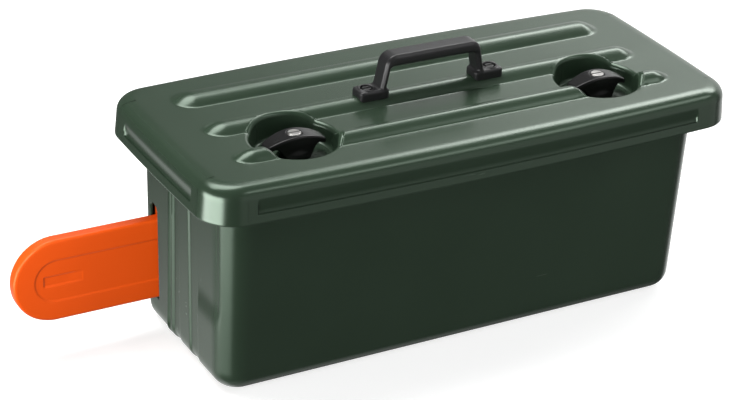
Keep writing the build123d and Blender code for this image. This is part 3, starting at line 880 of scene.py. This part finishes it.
def handle_field(p):
    """Strap handle whose feet are hollowed to sit on the middle bead."""
    x, y, z = np.abs(p[..., 0]), p[..., 1] - HANDLE_Y, p[..., 2]
    arch = bevelled(arch_outline(x, z), np.abs(y) - HANDLE_HALF, ARCH_BEVEL, 0.9 * MM)
    from_screw = np.hypot(x - HANDLE_SCREW_X, y)
    body = join(arch, foot_field(x, y, z, from_screw), 2.4 * MM)
    recess = np.maximum(from_screw - RECESS_R, FOOT_TOP - RECESS_DEPTH - z)
    body = meet(body, -recess, 0.5 * MM)
    bead = LID_HIGH.z - BEAD_HEIGHT * (y / BEADS[1][1]) ** 2
    return np.maximum(body, np.maximum(bead, HANDLE_LOW.z) - z)


def make_handle():
    """Carrying handle, meshed from its field."""
    margin = 2 * MM
    low = HANDLE_LOW - Vector((margin,) * 3)
    high = HANDLE_HIGH + Vector((margin,) * 3)
    points, faces = contour(handle_field, low, high, 0.9 * MM)
    handle = piece("handle_body", points, faces, GREY, sharp=60)
    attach(handle, "lid")
    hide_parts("handle")


# ======================= latch knobs =======================
KNOB_LOW_Z = KNOBS["left"][0].z
KNOB_TOP_Z = KNOBS["left"][1].z
KNOB_HALF = (KNOBS["left"][1].x - KNOBS["left"][0].x) / 2
HUB_R = 13 * MM
HUB_HEIGHT = 7 * MM
KNOB_DROOP = 10 * MM  # how much lower the grip's top is at its ends
KNOB_END_HALF = 8.5 * MM  # half width of the grip at its ends
KNOB_SWELL = 4.5 * MM  # how much the half width grows towards the middle
FLARE_HEIGHT = 22 * MM
BELLY_RISE, BELLY_DROP = 14.5 * MM, 3.2 * MM
SCREW_POCKET_R, SCREW_POCKET_DEPTH = 8.1 * MM, 2.1 * MM


def knob_field(p):
    """Arched grip that droops at both ends, flaring into a round hub. The origin is on its axis."""
    x, y, z = np.abs(p[..., 0]), np.abs(p[..., 1]), p[..., 2]
    share = x / KNOB_HALF
    crown = KNOB_TOP_Z - KNOB_DROOP * share ** 2
    half_width = KNOB_END_HALF + KNOB_SWELL * (1 - share ** 2)
    top = (z - crown) / np.sqrt(1 + (2 * KNOB_DROOP * x / KNOB_HALF ** 2) ** 2)
    fall = np.maximum(crown - z, 0)
    t = np.minimum(fall / FLARE_HEIGHT, 1)
    flare = MM * (3 * t ** 3 - 4 * t * (1 - t))  # hollow below the top edge, wider at the foot
    side = (y - half_width - flare) * 0.9
    strip = bevelled(top, side, 1.6 * MM, 0.5 * MM)
    end = x - KNOB_HALF + 2 * MM * (y / KNOB_END_HALF) ** 2
    strip = bevelled(strip, end, 1.2 * MM, 0.7 * MM)
    belly = KNOB_LOW_Z + BELLY_RISE * smooth(HUB_R - 5 * MM, HUB_R + 12 * MM, x)
    belly = belly - BELLY_DROP * smooth(HUB_R + 11 * MM, KNOB_HALF, x)
    strip = meet(strip, (belly - z) * 0.85, 1.0 * MM)
    from_axis = np.hypot(x, y)
    hub = bevelled(from_axis - HUB_R, z - KNOB_LOW_Z - HUB_HEIGHT, 1.0 * MM, 0.6 * MM)
    hub = np.maximum(hub, KNOB_LOW_Z - z)
    body = join(strip, hub, 5 * MM)
    body = np.maximum(body, KNOB_LOW_Z - z)
    recess = np.maximum(from_axis - SCREW_POCKET_R, KNOB_TOP_Z - SCREW_POCKET_DEPTH - z)
    return meet(body, -recess, 0.4 * MM)


def make_knobs():
    """Both latch knobs, one mesh placed over each well."""
    margin = 2 * MM
    reach = 21 * MM  # beyond the flare's foot
    low = (-KNOB_HALF - margin, -reach, KNOB_LOW_Z - margin)
    high = (KNOB_HALF + margin, reach, KNOB_TOP_Z + margin)
    points, faces = contour(knob_field, low, high, 0.7 * MM)
    for side, x0 in zip(KNOBS, KNOB_XS):
        knob = piece(f"knob_grip_{side}", points + (x0, KNOB_Y, 0), faces, BLACK, sharp=60)
        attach(knob, f"latch_{side}")
        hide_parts(f"knob_{side}")


# ======================= scabbard =======================
BLADE_R = 48 * MM
BLADE_CENTRE_X = SCABBARD_LOW.x + BLADE_R
BLADE_Y = (SCABBARD_LOW.y + SCABBARD_HIGH.y) / 2
BLADE_Z = 84 * MM
BLADE_HALF = 7.5 * MM
BLADE_EDGE_R = 3.2 * MM
BLADE_WALL, BLADE_FACE_WALL = 2 * MM, 3.2 * MM
SUNK_DEPTH = 1.0 * MM  # long panel along each face
SUNK_EDGES = (23.6 * MM, 25.2 * MM)  # its sloping edge, measured from the blade's middle line
WINDOW_DEPTH = 1.4 * MM  # small pocket inside the panel, shallower towards the tub
WINDOW_X, WINDOW_Z = (-417 * MM, -375 * MM), (78.6 * MM, 89.4 * MM)
WINDOW_SOFT = 0.9 * MM
COLLAR_X, COLLAR_HALF_X = -280.5 * MM, 2 * MM  # flange inside the tub's end wall
COLLAR_HALF_Y = 12.5 * MM
COLLAR_Z = (28 * MM, 154 * MM)


def blade_field(p):
    """Flat hollow blade with a round tip, a sunk panel on both faces and a collar inside the tub."""
    x, y, z = p[..., 0], np.abs(p[..., 1] - BLADE_Y), p[..., 2]
    ahead = np.maximum(BLADE_CENTRE_X - x, 0)
    from_spine = np.hypot(ahead, z - BLADE_Z)
    outline = from_spine - BLADE_R
    panel = SUNK_DEPTH * (1 - smooth(*SUNK_EDGES, from_spine))
    pocket = band(x, *WINDOW_X, WINDOW_SOFT) * band(z, *WINDOW_Z, WINDOW_SOFT)
    ramp = 1 - 0.75 * smooth(-392 * MM, WINDOW_X[1], x)
    face = y - BLADE_HALF + panel + WINDOW_DEPTH * pocket * ramp
    edge = BLADE_EDGE_R
    q1, q2 = np.maximum(outline + edge, 0), np.maximum(face + edge, 0)
    blade = np.hypot(q1, q2) + np.minimum(np.maximum(outline, face) + edge, 0) - edge
    blade = np.maximum(blade, x - SCABBARD_HIGH.x)
    blade = join(blade, collar_field(x, y, z), 0.8 * MM)
    cavity = np.maximum(outline + BLADE_WALL, y - BLADE_HALF + BLADE_FACE_WALL)
    return np.maximum(blade, -cavity)


def collar_field(x, y, z):
    """Flange that keeps the scabbard from sliding out through the slot."""
    low_z, high_z = COLLAR_Z
    qx = np.abs(x - COLLAR_X) - COLLAR_HALF_X
    qy = y - COLLAR_HALF_Y
    qz = np.abs(z - (high_z + low_z) / 2) - (high_z - low_z) / 2
    return np.maximum(np.maximum(qx, qy), qz)


def make_scabbard():
    """Orange scabbard, kept out of the plastic's reflections. Returns it for its own lamp."""
    margin = 2.1 * MM
    low = SCABBARD_LOW - Vector((margin,) * 3)
    high = SCABBARD_HIGH + Vector((margin,) * 3)
    points, faces = contour(blade_field, low, high, 1.1 * MM)
    blade = piece("scabbard_shell", points, faces, ORANGE, sharp=60)
    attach(blade, "scabbard")
    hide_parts("scabbard")
    blade.visible_glossy = False
    return blade


# ======================= hardware that stays as CAD =======================
def paint_cad_nodes():
    """Procedural finishes on the CAD nodes that are shown as they are."""
    others = {"latch_bush_left": BLACK, "latch_bush_right": BLACK, "handle_screws": BLACK_STEEL}
    for name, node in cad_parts.items():
        material = others.get(name, ZINC)
        for material_slot in node.material_slots:
            material_slot.material = material


# ======================= studio =======================
def make_floor():
    """Pale floor that shows a faint contact shadow and stays out of the plastic's reflections."""
    size, drop = 8.0, -0.4 * MM
    corners = [(-size, -size, drop), (size, -size, drop), (size, size, drop), (-size, size, drop)]
    material = bpy.data.materials.new("pale_floor")
    floor = piece("floor", corners, [(0, 1, 2, 3)], material)
    floor.visible_glossy = False
    floor.visible_diffuse = False
    material.use_nodes = True
    shader = material.node_tree.nodes["Principled BSDF"]
    shader.inputs["Base Color"].default_value = (0.5, 0.5, 0.5, 1)
    shader.inputs["Roughness"].default_value = 0.9
    shader.inputs["Specular IOR Level"].default_value = 0.0
    shader.inputs["Emission Color"].default_value = (1, 1, 1, 1)
    shader.inputs["Emission Strength"].default_value = 0.75


# Soft panels round the studio. In degrees: azimuth and elevation of the middle, half of the width
# and of the height, softness across and up. The last value is the brightness.
# Azimuth 0 is in front of the box, 90 at its right and 180 behind it.
PANELS = {
    "rear_key": (190, 68, 45, 12, 22, 8, 9.5),
    "front_fill": (35, 2, 30, 22, 15, 5, 0.65),
    "front_high": (48, 46, 22, 4, 10, 4, 4.0),
    "left_strip": (-80, -8, 25, 12, 10, 14, 16.5),
    "left_table": (-155, -53, 40, 20, 20, 5, 0.9),
    "backdrop": (122, -5, 17, 30, 22, 5, 1.15),
    "rear_overhead": (122, 38, 17, 5, 10, 4, 10.0),
    "table": (0, -90, 180, 25, 12, 12, 0.4),
}
AMBIENT = 0.12


def make_scabbard_light(scabbard):
    """Soft lamp above and in front of the scabbard's tip that lights nothing else."""
    data = bpy.data.lights.new("scabbard_light", "AREA")
    data.shape = "DISK"
    data.size = 0.3
    data.energy = 11.0
    data.specular_factor = 0.3
    lamp = bpy.data.objects.new("scabbard_light", data)
    bpy.context.scene.collection.objects.link(lamp)
    lamp.location = (-0.85, -0.45, 0.50)
    tip = Vector((-0.43, BLADE_Y, BLADE_Z))
    aim = tip - lamp.location
    lamp.rotation_euler = aim.to_track_quat("-Z", "Y").to_euler()
    lit = bpy.data.collections.new("scabbard_only")
    lit.objects.link(scabbard)
    lamp.light_linking.receiver_collection = lit


def maths(tree, operation, first, second=None, third=None):
    """Math node; each operand is a socket or a number."""
    node = add_node(tree, "ShaderNodeMath", operation=operation)
    for socket, value in zip(node.inputs, (first, second, third)):
        if isinstance(value, (int, float)):
            socket.default_value = value
        elif value is not None:
            tree.links.new(value, socket)
    return node.outputs["Value"]


def window(tree, offset, half, soft):
    """1 within half of zero, easing to 0 over soft."""
    node = add_node(
        tree,
        "ShaderNodeMapRange",
        interpolation_type="SMOOTHSTEP",
        **{"From Min": half, "From Max": half + soft, "To Min": 1.0, "To Max": 0.0},
    )
    tree.links.new(maths(tree, "ABSOLUTE", offset), node.inputs["Value"])
    return node.outputs["Result"]


def make_world():
    """White to the camera; to everything else, a dim room with soft bright panels."""
    world = bpy.data.worlds.new("studio")
    bpy.context.scene.world = world
    world.use_nodes = True
    tree = world.node_tree
    background = tree.nodes["Background"]
    place = add_node(tree, "ShaderNodeTexCoord")
    split = add_node(tree, "ShaderNodeSeparateXYZ")
    tree.links.new(place.outputs["Generated"], split.inputs[0])
    toward_front = maths(tree, "MULTIPLY", split.outputs["Y"], -1.0)
    degrees = 180 / math.pi
    azimuth = maths(tree, "MULTIPLY", maths(tree, "ARCTAN2", split.outputs["X"], toward_front), degrees)
    elevation = maths(tree, "MULTIPLY", maths(tree, "ARCSINE", split.outputs["Z"]), degrees)
    total = AMBIENT
    for middle, height, half_width, half_height, soft, soft_up, brightness in PANELS.values():
        turn = maths(tree, "WRAP", maths(tree, "SUBTRACT", azimuth, middle), 180.0, -180.0)
        rise = maths(tree, "SUBTRACT", elevation, height)
        across = window(tree, turn, half_width, soft)
        up = window(tree, rise, half_height, soft_up)
        shape = maths(tree, "MULTIPLY", across, up)
        total = maths(tree, "ADD", total, maths(tree, "MULTIPLY", shape, brightness))
    seen = add_node(tree, "ShaderNodeLightPath")
    final = add_node(tree, "ShaderNodeMix", data_type="FLOAT")
    final.inputs[3].default_value = 1.0
    tree.links.new(seen.outputs["Is Camera Ray"], final.inputs[0])
    tree.links.new(total, final.inputs[2])
    tree.links.new(final.outputs[0], background.inputs["Strength"])
    background.inputs["Color"].default_value = (1, 1, 1, 1)


def make_camera():
    """Three-quarter view from the front left, rolled a little."""
    azimuth, elevation, roll = math.radians(-30.24), math.radians(27.5), math.radians(3.04)
    distance = 2.54905
    target = Vector((-0.0430, 0.03974, 0.11336))
    back = Vector(
        (
            math.sin(azimuth) * math.cos(elevation),
            -math.cos(azimuth) * math.cos(elevation),
            math.sin(elevation),
        )
    )
    right = (-back).cross(Vector((0, 0, 1))).normalized()
    up = right.cross(-back)
    axis_x = right * math.cos(roll) + up * math.sin(roll)
    axis_y = up * math.cos(roll) - right * math.sin(roll)
    data = bpy.data.cameras.new("camera")
    data.sensor_width = 36
    data.lens = 112.67
    camera = bpy.data.objects.new("camera", data)
    bpy.context.scene.collection.objects.link(camera)
    camera.matrix_world = Matrix.Translation(target + back * distance) @ Matrix(
        (axis_x, axis_y, back)
    ).transposed().to_4x4()
    bpy.context.scene.camera = camera


make_lid()
make_tub()
make_handle()
make_knobs()
make_scabbard_light(make_scabbard())
paint_cad_nodes()
make_floor()
make_world()
make_camera()
bpy.context.scene.view_settings.view_transform = "Standard"
